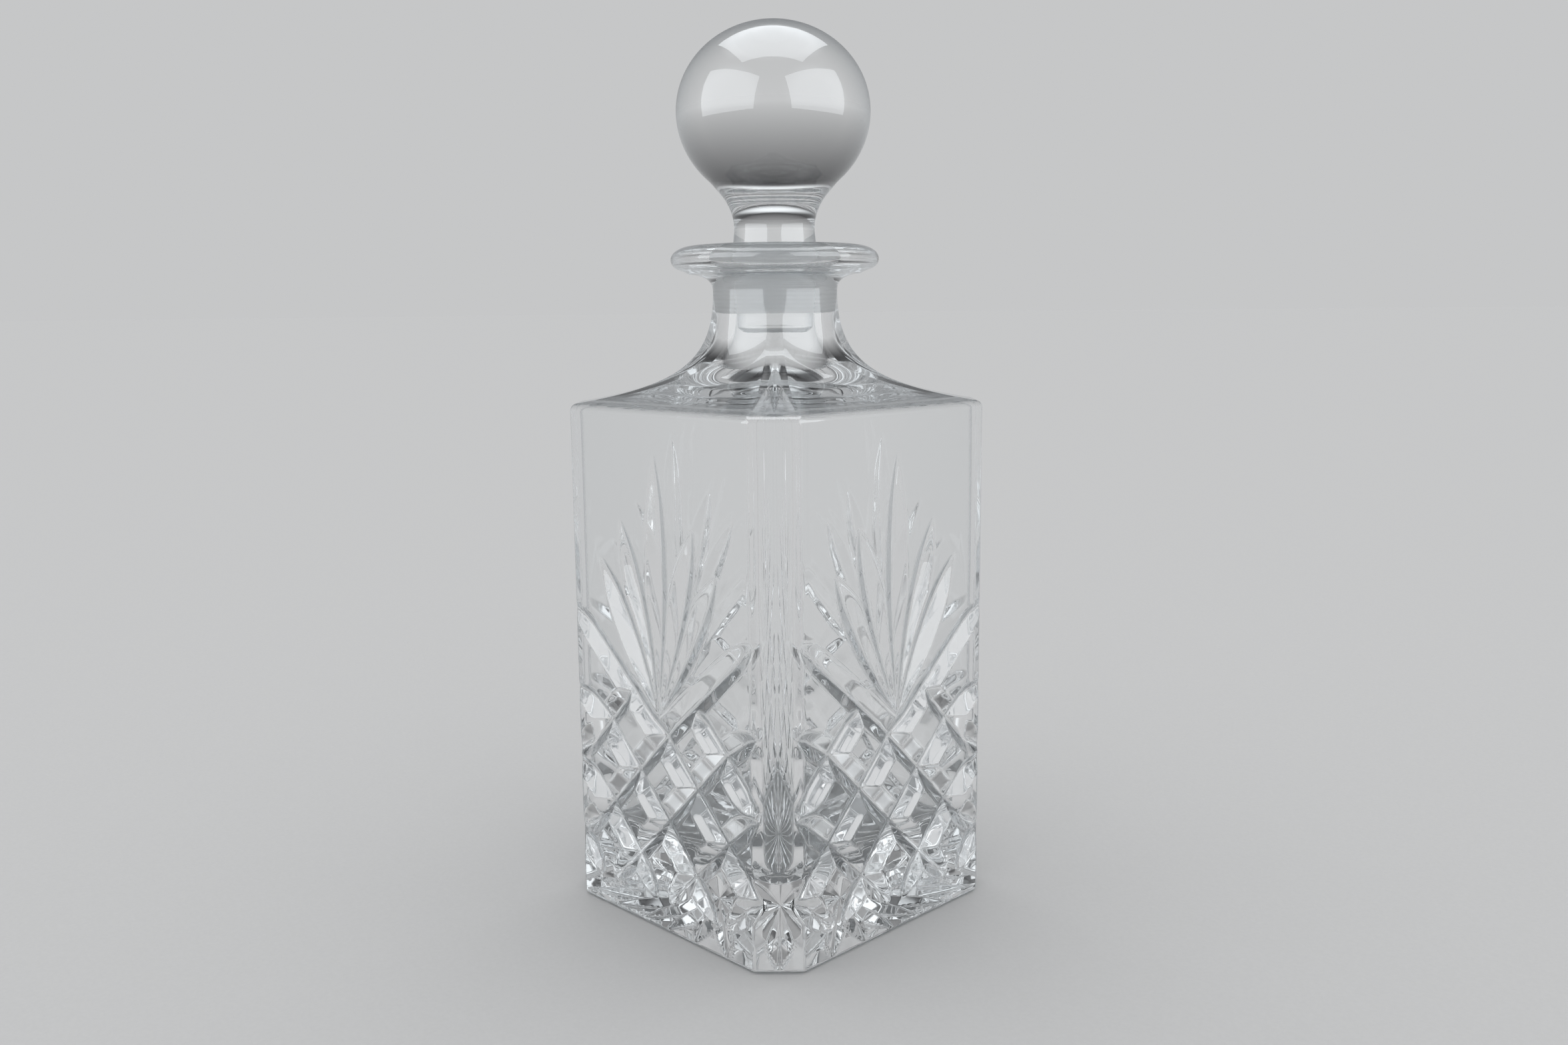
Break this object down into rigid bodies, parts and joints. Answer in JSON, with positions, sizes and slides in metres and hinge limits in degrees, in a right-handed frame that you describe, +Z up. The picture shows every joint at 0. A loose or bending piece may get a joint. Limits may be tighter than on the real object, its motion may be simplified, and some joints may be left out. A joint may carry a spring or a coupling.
{
  "type": "whisky decanter",
  "caption": "Square cut-glass decanter with diamond and fan cuts on its faces, a star-cut base, a swept shoulder, a flanged lip and a lift-out solid ball stopper with a tapered ground plug",
  "frame": {"origin": "centre of the underside, on the surface that the decanter stands on", "axes": "+Z is up along the bottle's axis; the four cut faces look along +X, -X, +Y and -Y"},
  "size_m": [0.0906, 0.0906, 0.247],
  "materials": {
    "body_crystal": "polished, cut",
    "stopper_crystal": "polished, with a ground plug"
  },
  "bodies": {
    "bottle": {"decanter_body": "body_crystal"},
    "stopper": {"ball_stopper": "stopper_crystal"}
  },
  "joints": [
    {"name": "stopper_lift", "type": "slide", "parent": "bottle", "child": "stopper", "axis": [0, 0, 1], "range_m": [0, 0.04]}
  ]
}
